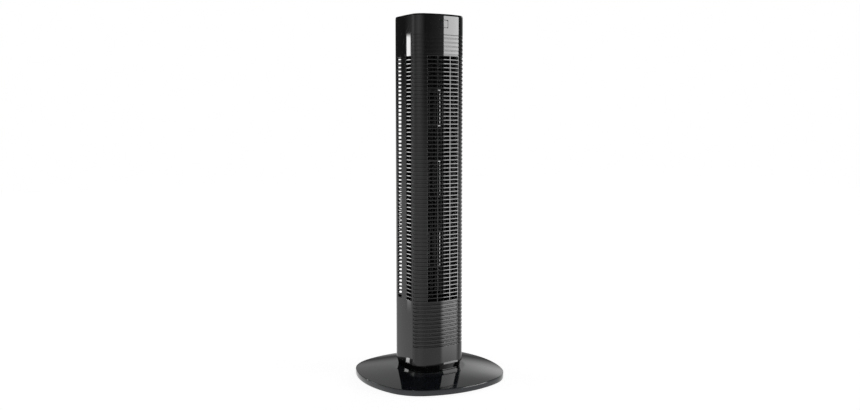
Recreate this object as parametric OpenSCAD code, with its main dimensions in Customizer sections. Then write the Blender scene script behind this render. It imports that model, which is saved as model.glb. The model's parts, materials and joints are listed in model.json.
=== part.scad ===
// Tower fan: a turning column with a tangential wheel, on a domed base.
// Origin: on the floor under the middle of the base. +Z up, air leaves towards -Y.

/* [Overall] */
// Height of the whole fan
fan_h = 800; // [760:1:960]
// Width of the base
base_w = 318; // [290:1:382]
// Depth of the base
base_d = 316; // [290:1:380]

/* [Column section] */
// Widest distance across the column's sides
column_w = 126.6; // [122:0.1:152]
// Distance from the front of the column to its back
column_d = 128; // [124:0.1:154]
// Radius of the gentle bow of the front panel
front_r = 158; // [140:1:190]
// Distance from the ends of that bow to the column's sides
bow_edge = 21.3; // [19:0.1:25]
// Radius of the front panel's corners
corner_r = 28.2; // [24:0.1:32]
// Angle through which the front panel has turned at the creases
crease_turn = 79.9; // [74:0.1:84]
// Radius of the slight bulge of the sides
side_r = 600; // [400:10:900]
// Radius of the slight bulge of the back
back_r = 600; // [400:10:900]
// Radius of the rear corners
rear_corner_r = 32; // [24:0.5:34]
// Wall thickness of the column's mouldings
wall = 2.4; // [2:0.1:3]
// Gap between parts that are fitted without play
fit_gap = 0.2; // [0.1:0.05:0.3]

/* [Air slots] */
// Distance from one slot to the next
slot_pitch = 8.6; // [8:0.1:10.4]
// Height of one slot
slot_h = 5.6; // [4.6:0.1:6.4]
// Plain height above the first slot's centre line
top_band = 91.7; // [80:0.1:110]
// Plain height below the last slot's centre line
bottom_band = 147.1; // [140:0.1:176]
// Half width of the front slot field
slot_half = 38; // [34:0.5:40]
// Distance of the two upright bars from the middle
bar_x = 15.8; // [12:0.1:18]
// Width of those bars
bar_w = 2; // [1.6:0.1:3]
// Depth of the ribs' grooves in the front panel
groove_depth = 1; // [0.6:0.1:1.2]
// Height of one groove
groove_h = 3.6; // [3:0.1:4.4]
// Number of grooves above the slots
grooves_above = 5; // [3:1:6]
// Number of grooves below the slots
grooves_below = 12; // [8:1:12]

/* [Base and neck] */
// Height of the flat middle of the base
base_h = 23; // [21:0.5:28]
// Height of the base's rim
rim_h = 11; // [10.5:0.1:13]
// Radius of the flat middle of the base
plateau_r = 80; // [76:1:92]
// Radius of the base outline's long sides
base_side_r = 232; // [210:1:280]
// Radius of the base outline's corners
base_corner_r = 100; // [84:1:104]
// Thickness of the base's mouldings
base_wall = 2.6; // [2.2:0.1:3.2]
// Height of the rubber feet
foot_h = 2; // [1.6:0.1:2.4]
// Height of the neck between base and column
neck_h = 12.8; // [12:0.1:16]
// How far the neck stands back from the column's faces
neck_inset = 1.5; // [1:0.1:2.4]
// Running gap under the neck
neck_gap = 0.8; // [0.6:0.1:1.2]

/* [Swing drive] */
// Radius of the hollow pivot under the column
pivot_r = 22; // [20:0.5:26.5]
// Radial running clearance in the pivot
pivot_play = 0.05; // [0.03:0.01:0.09]
// Gear module
gear_module = 1.2; // [1.1:0.05:1.3]
// Teeth of the fixed ring gear
ring_teeth = 60; // [56:2:62]
// Teeth of the pinion
pinion_teeth = 14; // [14:2:16]
// Extra centre distance that keeps the teeth free
mesh_gap = 0.35; // [0.25:0.05:0.5]

/* [Wheel] */
// Outer radius of the fan wheel
wheel_r = 40; // [33:0.5:41]
// Distance of the wheel's axis behind the column's axis
wheel_y = 3; // [0:0.5:5]
// Blades in each segment
blades = 20; // [16:2:24]
// Blade thickness
blade_t = 1.2; // [1:0.1:1.6]
// Radius of the motor's shaft
shaft_r = 4; // [3:0.5:5]

/* [Keys] */
// Distance between keys
key_pitch = 16; // [15:0.5:17]
// Radius of a key
key_r = 5.2; // [4.6:0.1:5.6]
// Travel of a key
key_travel = 1.2; // [0.8:0.1:1.6]

/* [Hidden] */
$fn = 96;
arc_facets = 360;
corner_ease = 0.02;
tiny = 0.01;
column_z = base_h + neck_gap + neck_h;
side_half = column_w / 2;
front_half = side_half - bow_edge;
apex_y = -column_d / 2;
back_y = column_d / 2;

// Front panel: the bow's centre, the corner arc's centre and the crease
bow_angle = asin(front_half / front_r);
bow_cy = apex_y + front_r;
corner_cx = (front_r - corner_r) * sin(bow_angle);
corner_cy = bow_cy - (front_r - corner_r) * cos(bow_angle);
crease_x = corner_cx + corner_r * sin(crease_turn);
crease_y = corner_cy - corner_r * cos(crease_turn);
// Sides: the bulge passes through the crease and is widest at side_mid_y
side_mid_y = crease_y + sqrt(pow(side_r, 2) - pow(side_r - side_half + crease_x, 2));
side_cx = side_half - side_r;
back_cy = back_y - back_r;
rear_c = cross_circles([side_cx, side_mid_y], side_r - rear_corner_r,
                       [0, back_cy], back_r - rear_corner_r);

// Slots fill the height between the two plain bands, at a whole number of pitches
slot_rows = floor((fan_h - column_z - top_band - bottom_band) / slot_pitch + tiny) + 1;
first_slot_z = fan_h - top_band;
last_slot_z = first_slot_z - (slot_rows - 1) * slot_pitch;
field_z0 = last_slot_z - slot_h / 2;
field_z1 = first_slot_z + slot_h / 2;
groove_lead = 0.65; // pitches from the first slot to the first groove above it
side_slots = [[crease_y + 5, -9], [13, back_y - rear_corner_r]];
back_slot_half = rear_c[0] + rear_corner_r * 0.55;
back_bar_x = back_slot_half / 3;
back_bar_w = 3;

// Seam between the front panel and the rear shell
lip_t = 1.8;
lip_len = 8;
seam = 0.3;
shell_foot_z = column_z + 7;
lug_z1 = column_z + 12;
lug_r = 4.5;
lug_reach_x = 16 + side_half - crease_x;
lug_reach_y = 25.5;

// Display window
window_half = 9.4;
window_h = 15.8;
window_z = fan_h - 20.8;
window_round = 2.4;
window_gap = 0.25;

// Lid and keys
lid_t = 3;
lid_drop = 0.8;
lid_skirt = 9;
lid_z = fan_h - lid_drop - lid_t;
keys = 5;
key_y = -18;
key_gap = 0.35;
key_stand = 0.7;
key_flange_h = 1.4;
key_flange_w = 1.2;
key_drop = 0.3;
board_t = 1.6;
switch_w = 6;
switch_h = 3.4;
plunger_r = 1.7;
plunger_h = 1;
key_stem_r = 2;
board_z = lid_z - 16;
board_w = keys * key_pitch + 6;
board_d = 46;
board_y = -6;
key_stem_z = board_z + board_t + switch_h + plunger_h + key_travel + 0.1;

// Wheel
segments = 7;
wheel_margin = 5;
wheel_z0 = field_z0 - wheel_margin;
wheel_z1 = field_z1 + wheel_margin;
seg_h = (wheel_z1 - wheel_z0) / segments;
disc_t = 2;
wheel_ring_w = 10;
blade_in = wheel_r - 9.2;
blade_out = wheel_r - 0.4;
blade_bow_r = 6.4;
hub_r = 9;
hub_h = 14;
pin_r = 3;

// Motor, under the wheel
motor_r = 36;
motor_h = 52;
can_t = 1.5;
plate_t = 2.5;
bracket_z = wheel_z0 - hub_h - 6 - plate_t;
isolator_h = 4;
motor_z1 = bracket_z - isolator_h;
motor_z0 = motor_z1 - motor_h;
bush_r = 8;
bush_play = 0.05;
motor_screw_ring = 28;
motor_screw_n = 3;
screw_r = 1.6;
head_r = 3.2;
head_h = 2;
clear_r = 2;
rotor_r = 21;
rotor_h = 26;
stator_in = 21.6;

// Upper bearing
bearing_z = wheel_z1 + 6;
bearing_out = 7;
rubber_out = 12;
bearing_h = 9;

// Air duct walls round the wheel
duct_t = 1.6;
duct_x = wheel_r + 1;
scroll_gap = 4;
scroll_end = 80;
tongue_gap = 2.6;
duct_z0 = bracket_z + plate_t + fit_gap;
duct_z1 = bearing_z - fit_gap;

// Neck, pivot and gears
neck_z0 = base_h + neck_gap;
neck_floor_z = neck_z0 + 6.7;
neck_floor_t = 3;
neck_lip_h = shell_foot_z - column_z - 1;
hub_out = pivot_r + 6;
hub_z0 = foot_h + 7.6;
hub_z1 = neck_floor_z - 2;
pivot_bore_r = pivot_r - 6;
retainer_t = 2.4;
retainer_gap = 0.3;
gear_z0 = base_h;
gear_h = 5;
ring_pitch_r = gear_module * ring_teeth / 2;
pinion_pitch_r = gear_module * pinion_teeth / 2;
gear_centre = ring_pitch_r + pinion_pitch_r + mesh_gap;
swing_shaft_r = 2.5;
swing_can_r = 14;
swing_can_h = 19;
swing_offset = 8;
swing_ear = 17.5;

// Base
base_half_w = base_w / 2;
base_half_d = base_d / 2;
base_corner = cross_circles([base_half_w - base_side_r, 0], base_side_r - base_corner_r,
                            [0, base_half_d - base_side_r], base_side_r - base_corner_r);
dome_cz = (pow(plateau_r, 2) + pow(base_h, 2) - pow(base_half_w, 2) - pow(rim_h, 2))
          / (2 * (base_h - rim_h));
dome_r = sqrt(pow(plateau_r, 2) + pow(base_h - dome_cz, 2));
dome_edge = norm([base_half_w, base_half_d]);
dome_steps = 8;
cover_z0 = foot_h + 0.2;
tray_t = 2.4;
base_posts = 6;
post_ring = min(base_half_w, base_half_d) - 42;
post_r = 4.5;
foot_ring = min(base_half_w, base_half_d) - 22;
foot_r = 9;
gland_z = 5.5;
gland_r = 3;
gland_flange = 3.2;
gland_len = 9;
cord_r = 2.4;

// Boards and wiring
power_post_h = 8;
power_post_r = 3;
power_z = neck_floor_z + neck_floor_t + power_post_h;
power_w = 74;
power_d = 50;
power_y = -8;
loom_r = 2.2;
loom_x = crease_x - 14;
loom_y = crease_y + 6;
loom_z0 = lug_z1 + 2;
loom_z1 = board_z - 2;

// ---------- helpers ----------

// Crossing of two circles on the side of larger x
function cross_circles(p, rp, q, rq) =
    let (d = norm(q - p), a = (rp * rp - rq * rq + d * d) / (2 * d),
         h = sqrt(rp * rp - a * a), u = (q - p) / d, m = p + a * u,
         s1 = m + h * [-u[1], u[0]], s2 = m - h * [-u[1], u[0]])
    s1[0] > s2[0] ? s1 : s2;

// Point at a distance from p, along the line that comes from q
function beyond(q, p, dist) = p + dist * (p - q) / norm(p - q);

// Disc whose edge is used as a long arc of an outline
module arc_disc(r) {
    circle(r, $fn = arc_facets);
}

// Pie slice from point c, wide enough to hold an arc of radius r
module slice(c, from_a, from_b, r) {
    polygon([c, beyond(from_a, c, 2.2 * r), beyond(from_a, c, 2.2 * r)
             + beyond(from_b, c, 2.2 * r) - c, beyond(from_b, c, 2.2 * r)]);
}

// What a round corner takes off an outline, between the arcs round p and q
module corner_cut(c, p, q, r, i) {
    difference() {
        slice(c, p, q, r);
        translate(c) arc_disc(r + corner_ease - i);
    }
}

// Outline with four bowed sides and four round corners, set in by i
module bowed_outline(half_w, half_d, r, rc, corner, i) {
    difference() {
        intersection() {
            translate([half_w - r, 0]) arc_disc(r - i);
            translate([r - half_w, 0]) arc_disc(r - i);
            translate([0, half_d - r]) arc_disc(r - i);
            translate([0, r - half_d]) arc_disc(r - i);
        }
        for (sx = [0, 1], sy = [0, 1]) mirror([sx, 0]) mirror([0, sy])
            corner_cut(corner, [half_w - r, 0], [0, half_d - r], rc, i);
    }
}

// Front part of the column's section, in front of the creases, set in by i
module front_section(i = 0) {
    difference() {
        intersection() {
            translate([0, bow_cy]) arc_disc(front_r - i);
            translate([-column_w, apex_y - 1]) square([2 * column_w, crease_y - apex_y + 1]);
        }
        for (s = [0, 1]) mirror([s, 0])
            corner_cut([corner_cx, corner_cy], [0, bow_cy], [corner_cx - 1, corner_cy],
                       corner_r, i);
    }
}

// Rear part of the column's section, behind the creases, set in by i
module rear_section(i = 0) {
    difference() {
        intersection() {
            translate([side_cx, side_mid_y]) arc_disc(side_r - i);
            translate([-side_cx, side_mid_y]) arc_disc(side_r - i);
            translate([0, back_cy]) arc_disc(back_r - i);
            translate([-side_half, crease_y]) square([column_w, column_d]);
        }
        for (s = [0, 1]) mirror([s, 0])
            corner_cut(rear_c, [side_cx, side_mid_y], [0, back_cy], rear_corner_r, i);
    }
}

// Whole section of the column
module column_section(i = 0) {
    front_section(i);
    rear_section(i);
}

// Whole section, drawn out between two heights
module column_block(i, z0, z1) {
    translate([0, 0, z0]) linear_extrude(z1 - z0) column_section(i);
}

// Plain disc or tube between two heights
module tube(r_out, r_in, z0, z1) {
    translate([0, 0, z0]) difference() {
        cylinder(h = z1 - z0, r = r_out);
        if (r_in > 0) translate([0, 0, -1]) cylinder(h = z1 - z0 + 2, r = r_in);
    }
}

// Screw with its head at the bottom, pointing up
module screw(z0, len) {
    translate([0, 0, z0]) cylinder(h = head_h, r = head_r);
    translate([0, 0, z0]) cylinder(h = head_h + len, r = screw_r);
}

// Copies n children on a ring
module on_ring(n, r, turn = 0) {
    for (k = [0:n - 1]) rotate(turn + k * 360 / n) translate([r, 0, 0]) children();
}

// Spur gear: straight-flanked teeth, thinned for free running
module gear(teeth, h) {
    r = gear_module * teeth / 2;
    step = 360 / teeth;
    cylinder(h = h, r = r - 1.2 * gear_module);
    for (k = [0:teeth - 1]) rotate(k * step) linear_extrude(h) polygon([
        for (p = [[-2, 0.36], [0.9, 0.115], [0.9, -0.115], [-2, -0.36]])
            (r + p[0] * gear_module) * [cos(p[1] * step), sin(p[1] * step)]]);
}

// ---------- base ----------

module base_outline(i = 0) {
    bowed_outline(base_half_w, base_half_d, base_side_r, base_corner_r, base_corner, i);
}

// Height of the dome at a distance from the axis
function dome_z(r) = dome_cz + sqrt(pow(dome_r, 2) - pow(r, 2));

// Solid under the dome, set in by i: the outline cut down by a stack of cones
module dome(i) {
    difference() {
        linear_extrude(base_h - i) base_outline(i);
        rotate_extrude() polygon(concat(
            [for (k = [0:dome_steps]) let (r = plateau_r + k * (dome_edge - plateau_r) / dome_steps)
                [r, dome_z(r) - i]],
            [[dome_edge, 2 * base_h], [plateau_r, 2 * base_h]]));
    }
}

module base_cover() color([0.05, 0.05, 0.06]) {
    difference() {
        union() {
            difference() {
                dome(0);
                dome(base_wall);
                translate([-base_w, -base_d, -1]) cube([2 * base_w, 2 * base_d, 1 + cover_z0]);
            }
            tube(hub_out, pivot_r + pivot_play, hub_z0, hub_z1);
            on_ring(base_posts, post_ring, 30)
                tube(post_r, screw_r, foot_h + tray_t + fit_gap,
                     dome_z(post_ring + post_r) - base_wall / 2);
        }
        tube(pivot_r + pivot_play, 0, hub_z0 - 1, hub_z1 + 1);
        translate([0, base_half_d + 1, gland_z]) rotate([90, 0, 0])
            cylinder(h = base_wall + 2, r = gland_r);
    }
}

module base_tray() color([0.07, 0.07, 0.08]) {
    translate([0, 0, foot_h]) difference() {
        linear_extrude(tray_t) base_outline(base_wall + fit_gap);
        on_ring(base_posts, post_ring, 30) {
            translate([0, 0, -1]) cylinder(h = tray_t + 2, r = clear_r);
            translate([0, 0, -1]) cylinder(h = 1 + head_h / 2, r = head_r + fit_gap);
        }
        translate([-gland_flange - fit_gap, base_half_d - gland_len - 1, -1])
            cube([2 * (gland_flange + fit_gap), gland_len + 2, tray_t + 2]);
    }
}

module foot_pads() color([0.1, 0.1, 0.1]) {
    on_ring(base_posts, foot_ring, 0) cylinder(h = foot_h, r = foot_r);
}

module base_screws() color([0.6, 0.6, 0.62]) {
    on_ring(base_posts, post_ring, 30) screw(foot_h - head_h / 2, dome_z(post_ring) - 8);
}

// Grommet in the rear rim of the base, where the lead enters
module cord_grommet() color([0.08, 0.08, 0.08]) {
    translate([0, base_half_d, gland_z]) rotate([90, 0, 0]) difference() {
        union() {
            cylinder(h = gland_len, r = gland_r - 0.05);
            translate([0, 0, base_wall + 0.8]) cylinder(h = 2, r = gland_flange);
        }
        translate([0, 0, -1]) cylinder(h = 12, r = cord_r);
    }
}

module ring_gear() color([0.85, 0.85, 0.82]) {
    translate([0, 0, gear_z0]) difference() {
        rotate(90 + 180 / ring_teeth) gear(ring_teeth, gear_h);
        translate([0, 0, -1]) cylinder(h = gear_h + 2, r = hub_out);
    }
}

module thrust_washer() color([0.9, 0.9, 0.88]) {
    tube(hub_out - 0.5, pivot_r + 0.5, hub_z1, neck_floor_z - 0.05);
}

// ---------- column ----------

module neck_skirt() color([0.04, 0.04, 0.05]) {
    difference() {
        union() {
            difference() {
                union() {
                    column_block(neck_inset, neck_z0, column_z);
                    column_block(wall + fit_gap, column_z - tiny, column_z + neck_lip_h);
                }
                column_block(wall + neck_inset, neck_z0 - 1, neck_floor_z);
                column_block(wall + neck_inset, neck_floor_z + neck_floor_t,
                             column_z + neck_lip_h + 1);
            }
            tube(pivot_r, 0, hub_z0 - retainer_gap, neck_floor_z + 1);
            shell_screw_places() tube(4.5, 0, neck_floor_z, neck_floor_z + 6);
            power_places() tube(power_post_r, 0, neck_floor_z, power_z);
        }
        translate([0, 0, hub_z0 - 1]) cylinder(h = column_z, r = pivot_bore_r);
        translate([0, gear_centre, neck_floor_z - 1])
            cylinder(h = neck_floor_t + 2, r = swing_shaft_r + 1.5);
        swing_ears() translate([0, 0, neck_floor_z - 1])
            cylinder(h = neck_floor_t + 2, r = screw_r);
        shell_screw_places() translate([0, 0, neck_floor_z - 1])
            cylinder(h = 9, r = clear_r);
        retainer_places() translate([0, 0, hub_z0 - 1]) cylinder(h = 9, r = screw_r - 0.4);
    }
}

// Screws that hold the column's mouldings to the neck
module shell_screw_places() {
    for (sx = [-1, 1], y = [corner_cy + 2, rear_c[1] - 2])
        translate([sx * (crease_x - 18), y, 0]) children();
}

module retainer_places() {
    on_ring(3, (pivot_r + pivot_bore_r) / 2, 90) children();
}

module pivot_retainer() color([0.75, 0.76, 0.78]) {
    difference() {
        tube(pivot_r + 5, pivot_bore_r, hub_z0 - retainer_gap - retainer_t,
             hub_z0 - retainer_gap);
        retainer_places() translate([0, 0, foot_h]) cylinder(h = 12, r = screw_r - 0.4);
    }
}

module retainer_screws() color([0.6, 0.6, 0.62]) {
    z = hub_z0 - retainer_gap - retainer_t;
    retainer_places() {
        translate([0, 0, z - 1.2]) cylinder(h = 1.2, r = 2.4);
        translate([0, 0, z - 1.2]) cylinder(h = 8, r = screw_r - 0.4);
    }
}

// Lug of a shell on one of the neck's screws, with its rib as the child
module shell_lug(s, y) {
    translate([s * (crease_x - 18), y, 0]) difference() {
        union() {
            tube(lug_r, 0, column_z + fit_gap, lug_z1);
            children();
        }
        translate([0, 0, column_z - 1]) cylinder(h = lug_z1, r = screw_r);
    }
}

// Rib from a lug to the wall, towards +X
module lug_rib(reach) {
    translate([0, -1, shell_foot_z]) cube([reach, 2, lug_z1 - shell_foot_z]);
}

// Openings of one row of slots through the sides and the back
module rear_slots() {
    for (s = [0, 1], y = side_slots) mirror([s, 0])
        translate([rear_c[0] + 4, y[0]]) square([side_half, y[1] - y[0]]);
    for (x = [-2, 0, 2]) translate([x * back_bar_x - back_bar_x + back_bar_w / 2,
                                    rear_c[1] + 4])
        square([2 * back_bar_x - back_bar_w, back_y]);
}

module rear_shell() color([0.06, 0.06, 0.07]) {
    difference() {
        translate([0, 0, column_z]) linear_extrude(fan_h - column_z) difference() {
            rear_section(0);
            rear_section(wall);
            translate([-side_half, crease_y - 1]) square([column_w, 1 + seam]);
        }
        for (k = [0:slot_rows - 1])
            translate([0, 0, first_slot_z - k * slot_pitch - slot_h / 2])
                linear_extrude(slot_h) rear_slots();
    }
    for (s = [-1, 1]) shell_lug(s, rear_c[1] - 2) rotate(90 - 90 * s) lug_rib(lug_reach_x);
}

// Section of the front panel with its two rearward lips
module front_skin(i = 0) {
    difference() {
        front_section(i);
        front_section(wall);
    }
}

module front_lips() {
    for (s = [0, 1]) mirror([s, 0])
        translate([crease_x - wall - lip_t - fit_gap, crease_y - 5])
            square([lip_t, lip_len + 5]);
}

// Openings of one row of slots through the front
module front_slots() {
    for (x = [[-slot_half, -bar_x - bar_w / 2], [-bar_x + bar_w / 2, bar_x - bar_w / 2],
              [bar_x + bar_w / 2, slot_half]])
        translate([x[0], apex_y - 1]) square([x[1] - x[0], 24]);
}

// What one groove takes off the front panel
module groove_ring() {
    edge_x = crease_x - groove_depth;
    difference() {
        translate([-side_half - 2, apex_y - 2]) square([column_w + 4, crease_y - apex_y + 3]);
        front_section(groove_depth);
        translate([-edge_x, crease_y - tiny]) square([2 * edge_x, 4]);
    }
}

// Grooves beside the slots only
module groove_margins() {
    difference() {
        groove_ring();
        translate([-slot_half - 1, apex_y - 2]) square([2 * slot_half + 2, column_d]);
    }
}

module window_block(grow, depth) {
    w = window_half - window_round + grow;
    h = window_h / 2 - window_round + grow;
    translate([0, apex_y + depth, window_z]) rotate([90, 0, 0])
        linear_extrude(depth + 1) union() {
            for (sx = [-1, 1], sy = [-1, 1])
                translate([sx * (w - grow), sy * (h - grow)]) circle(window_round + grow);
            square([2 * (w - grow), 2 * (window_h / 2 + grow)], center = true);
            square([2 * (window_half + grow), 2 * (h - grow)], center = true);
        }
}

module front_grille() color([0.07, 0.07, 0.08]) {
    difference() {
        union() {
            translate([0, 0, column_z]) linear_extrude(fan_h - column_z) front_skin();
            translate([0, 0, shell_foot_z]) linear_extrude(lid_z - lid_skirt - 1 - shell_foot_z)
                front_lips();
            for (s = [-1, 1]) shell_lug(s, corner_cy + 2) rotate(-90) lug_rib(lug_reach_y);
        }
        for (k = [0:slot_rows - 1]) {
            z = first_slot_z - k * slot_pitch;
            translate([0, 0, z - slot_h / 2]) linear_extrude(slot_h) front_slots();
            translate([0, 0, z - groove_h / 2]) linear_extrude(groove_h) groove_margins();
        }
        for (k = [0:grooves_above - 1])
            translate([0, 0, first_slot_z + (k + groove_lead) * slot_pitch - groove_h / 2
                       + slot_h / 4])
                linear_extrude(groove_h - slot_h / 4) groove_ring();
        translate([0, 0, first_slot_z + (grooves_above + 0.5) * slot_pitch])
            linear_extrude(1) groove_ring();
        for (k = [1:grooves_below])
            translate([0, 0, last_slot_z - k * slot_pitch - groove_h / 2])
                linear_extrude(groove_h) groove_ring();
        window_block(window_gap, 12);
    }
}

module display_window() color([0.02, 0.02, 0.03]) {
    intersection() {
        translate([0, 0, window_z - window_h]) linear_extrude(2 * window_h) front_skin(0.1);
        window_block(0, 12);
    }
}

module display_board() color([0.1, 0.3, 0.15]) {
    translate([-11, apex_y + wall + 3, window_z - 10]) cube([22, board_t, 20]);
    translate([-7, apex_y + wall + 1, window_z - 5]) cube([14, 2, 10]);
}

module key_places(only = -1) {
    for (k = [0:keys - 1]) if (only < 0 || only == k)
        translate([(k - (keys - 1) / 2) * key_pitch, key_y, 0]) children();
}

module top_cap() color([0.05, 0.05, 0.06]) {
    difference() {
        union() {
            column_block(wall + fit_gap, lid_z, lid_z + lid_t);
            difference() {
                column_block(wall + fit_gap, lid_z - lid_skirt, lid_z + tiny);
                column_block(2 * wall + fit_gap, lid_z - lid_skirt - 1, lid_z);
            }
        }
        key_places() translate([0, 0, lid_z - 1]) cylinder(h = lid_t + 2, r = key_r + key_gap);
        window_block(2, 14);
    }
}

module one_key(k) {
    key_places(k) {
        translate([0, 0, lid_z - key_drop])
            cylinder(h = lid_t + key_drop + key_stand, r = key_r);
        translate([0, 0, lid_z - key_drop - key_flange_h])
            cylinder(h = key_flange_h, r = key_r + key_flange_w);
        translate([0, 0, key_stem_z])
            cylinder(h = lid_z - key_stem_z, r = key_stem_r);
    }
}

module power_key() color([0.5, 0.5, 0.52]) one_key(0);
module speed_key() color([0.5, 0.5, 0.52]) one_key(1);
module mode_key() color([0.5, 0.5, 0.52]) one_key(2);
module timer_key() color([0.5, 0.5, 0.52]) one_key(3);
module swing_key() color([0.5, 0.5, 0.52]) one_key(4);

module control_board() color([0.1, 0.35, 0.15]) {
    translate([-board_w / 2, board_y - board_d / 2, board_z]) cube([board_w, board_d, board_t]);
    translate([-12, board_y + 2, board_z + board_t]) cube([24, 10, 2.2]);
}

module key_switches() color([0.15, 0.15, 0.15]) {
    key_places() translate([0, 0, board_z + board_t]) {
        translate([-switch_w / 2, -switch_w / 2, 0]) cube([switch_w, switch_w, switch_h]);
        cylinder(h = switch_h + plunger_h, r = plunger_r);
    }
}

// ---------- wheel ----------

module wheel_axis() translate([0, wheel_y, 0]) children();

module blade() {
    intersection() {
        translate([(blade_in + blade_out) / 2, blade_bow_r - 1.8]) difference() {
            circle(blade_bow_r + blade_t / 2);
            circle(blade_bow_r - blade_t / 2);
        }
        translate([blade_in, -4]) square([blade_out - blade_in, 7]);
    }
}

module wheel_segment(k) {
    z = wheel_z0 + k * seg_h;
    last = k == segments - 1;
    wheel_axis() {
        tube(wheel_r, k == 0 ? shaft_r : wheel_r - wheel_ring_w, z, z + disc_t);
        translate([0, 0, z + disc_t])
            linear_extrude(seg_h - disc_t - (last ? disc_t / 2 : 0))
                rotate((k % 2) * 180 / blades)
                    for (b = [0:blades - 1]) rotate(b * 360 / blades) blade();
        if (last) tube(wheel_r, pin_r, z + seg_h - disc_t, z + seg_h);
    }
}

module wheel_segment_1() color([0.12, 0.12, 0.13]) wheel_segment(0);
module wheel_segment_2() color([0.12, 0.12, 0.13]) wheel_segment(1);
module wheel_segment_3() color([0.12, 0.12, 0.13]) wheel_segment(2);
module wheel_segment_4() color([0.12, 0.12, 0.13]) wheel_segment(3);
module wheel_segment_5() color([0.12, 0.12, 0.13]) wheel_segment(4);
module wheel_segment_6() color([0.12, 0.12, 0.13]) wheel_segment(5);
module wheel_segment_7() color([0.12, 0.12, 0.13]) wheel_segment(6);

module drive_hub() color([0.7, 0.7, 0.72]) wheel_axis()
    tube(hub_r, shaft_r, wheel_z0 - hub_h, wheel_z0);

module motor_shaft() color([0.75, 0.75, 0.77]) wheel_axis()
    tube(shaft_r, 0, motor_z0 + can_t + 2, wheel_z0 + disc_t);

module motor_rotor() color([0.6, 0.6, 0.62]) wheel_axis()
    tube(rotor_r, shaft_r, motor_z0 + (motor_h - rotor_h) / 2,
         motor_z0 + (motor_h + rotor_h) / 2);

module end_pin() color([0.75, 0.75, 0.77]) wheel_axis()
    tube(pin_r, 0, wheel_z1 - disc_t, bearing_z + bearing_h + 1);

// ---------- motor ----------

module motor_places() wheel_axis() on_ring(motor_screw_n, motor_screw_ring, 30) children();

module motor_can_upper() color([0.55, 0.56, 0.58]) difference() {
    wheel_axis() difference() {
        union() {
            tube(motor_r, motor_r - can_t, motor_z0 + motor_h / 2, motor_z1);
            tube(motor_r, shaft_r + 3, motor_z1 - can_t, motor_z1);
            tube(bush_r, shaft_r + bush_play, motor_z1 - 9, motor_z1 + 2);
        }
        translate([0, 0, motor_z1 - 10]) cylinder(h = 14, r = shaft_r + bush_play);
    }
    motor_places() translate([0, 0, motor_z1 - can_t - 1]) cylinder(h = 4, r = screw_r);
}

module motor_can_lower() color([0.55, 0.56, 0.58]) wheel_axis() difference() {
    union() {
        tube(motor_r, motor_r - can_t, motor_z0, motor_z0 + motor_h / 2);
        tube(motor_r, 0, motor_z0, motor_z0 + can_t);
        tube(bush_r, 0, motor_z0, motor_z0 + 10);
    }
    translate([0, 0, motor_z0 + can_t]) cylinder(h = 12, r = shaft_r + bush_play);
}

module motor_stator() color([0.7, 0.45, 0.2]) wheel_axis() {
    tube(motor_r - can_t, stator_in, motor_z0 + 16, motor_z1 - 16);
    tube(motor_r - can_t - 3, stator_in + 1, motor_z0 + 11, motor_z1 - 11);
}

// Plate across the column that carries the motor below and the duct above
module motor_bracket() color([0.09, 0.09, 0.1]) difference() {
    column_block(wall + lip_t + 2 * fit_gap, bracket_z, bracket_z + plate_t);
    wheel_axis() translate([0, 0, bracket_z - 1]) cylinder(h = plate_t + 2, r = hub_r + 2);
    motor_places() translate([0, 0, bracket_z - 1]) cylinder(h = plate_t + 2, r = 3.4);
    loom_place() translate([0, 0, bracket_z - 1]) cylinder(h = plate_t + 2, r = loom_r + 0.3);
}

module motor_isolators() color([0.15, 0.15, 0.15]) motor_places() {
    tube(3.4, screw_r, bracket_z, bracket_z + plate_t);
    tube(5, screw_r, motor_z1, bracket_z);
    tube(5, screw_r, bracket_z + plate_t, bracket_z + plate_t + 1.5);
}

module motor_screws() color([0.6, 0.6, 0.62]) motor_places() {
    translate([0, 0, bracket_z + plate_t + 1.5]) cylinder(h = head_h, r = head_r);
    translate([0, 0, motor_z1 - can_t]) cylinder(h = isolator_h + plate_t + 2 + can_t,
                                                 r = screw_r);
}

// ---------- upper bearing and duct ----------

module bearing_bush() color([0.7, 0.5, 0.25]) wheel_axis()
    tube(bearing_out, pin_r + bush_play, bearing_z, bearing_z + bearing_h);

module bearing_rubber() color([0.12, 0.12, 0.12]) wheel_axis()
    tube(rubber_out, bearing_out, bearing_z, bearing_z + bearing_h);

module bearing_bracket() color([0.09, 0.09, 0.1]) difference() {
    union() {
        column_block(wall + lip_t + 2 * fit_gap, bearing_z, bearing_z + plate_t);
        wheel_axis() tube(rubber_out + wall, 0, bearing_z, bearing_z + bearing_h);
    }
    wheel_axis() translate([0, 0, bearing_z - 1]) cylinder(h = bearing_h + 2, r = rubber_out);
    loom_place() translate([0, 0, bearing_z - 1]) cylinder(h = plate_t + 2, r = loom_r + 0.3);
}

// Wall of an air duct: beside the outlet, then round the wheel from one angle to another
module duct_section(gap, from_angle, to_angle) {
    r = wheel_r + gap;
    mid = (from_angle + to_angle) / 2;
    front_y = bow_cy - sqrt(pow(front_r - wall, 2) - pow(duct_x + duct_t, 2)) + fit_gap;
    meet_y = wheel_y - sqrt(pow(r, 2) - pow(duct_x, 2));
    translate([duct_x, front_y]) square([duct_t, meet_y - front_y + duct_t]);
    translate([0, wheel_y]) intersection() {
        difference() {
            circle(r + duct_t);
            circle(r);
        }
        polygon([for (t = [[0, 0], [from_angle, 3], [(from_angle + mid) / 2, 3], [mid, 3],
                           [(mid + to_angle) / 2, 3], [to_angle, 3]])
            t[1] * r * [cos(t[0]), sin(t[0])]]);
    }
}

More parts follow.
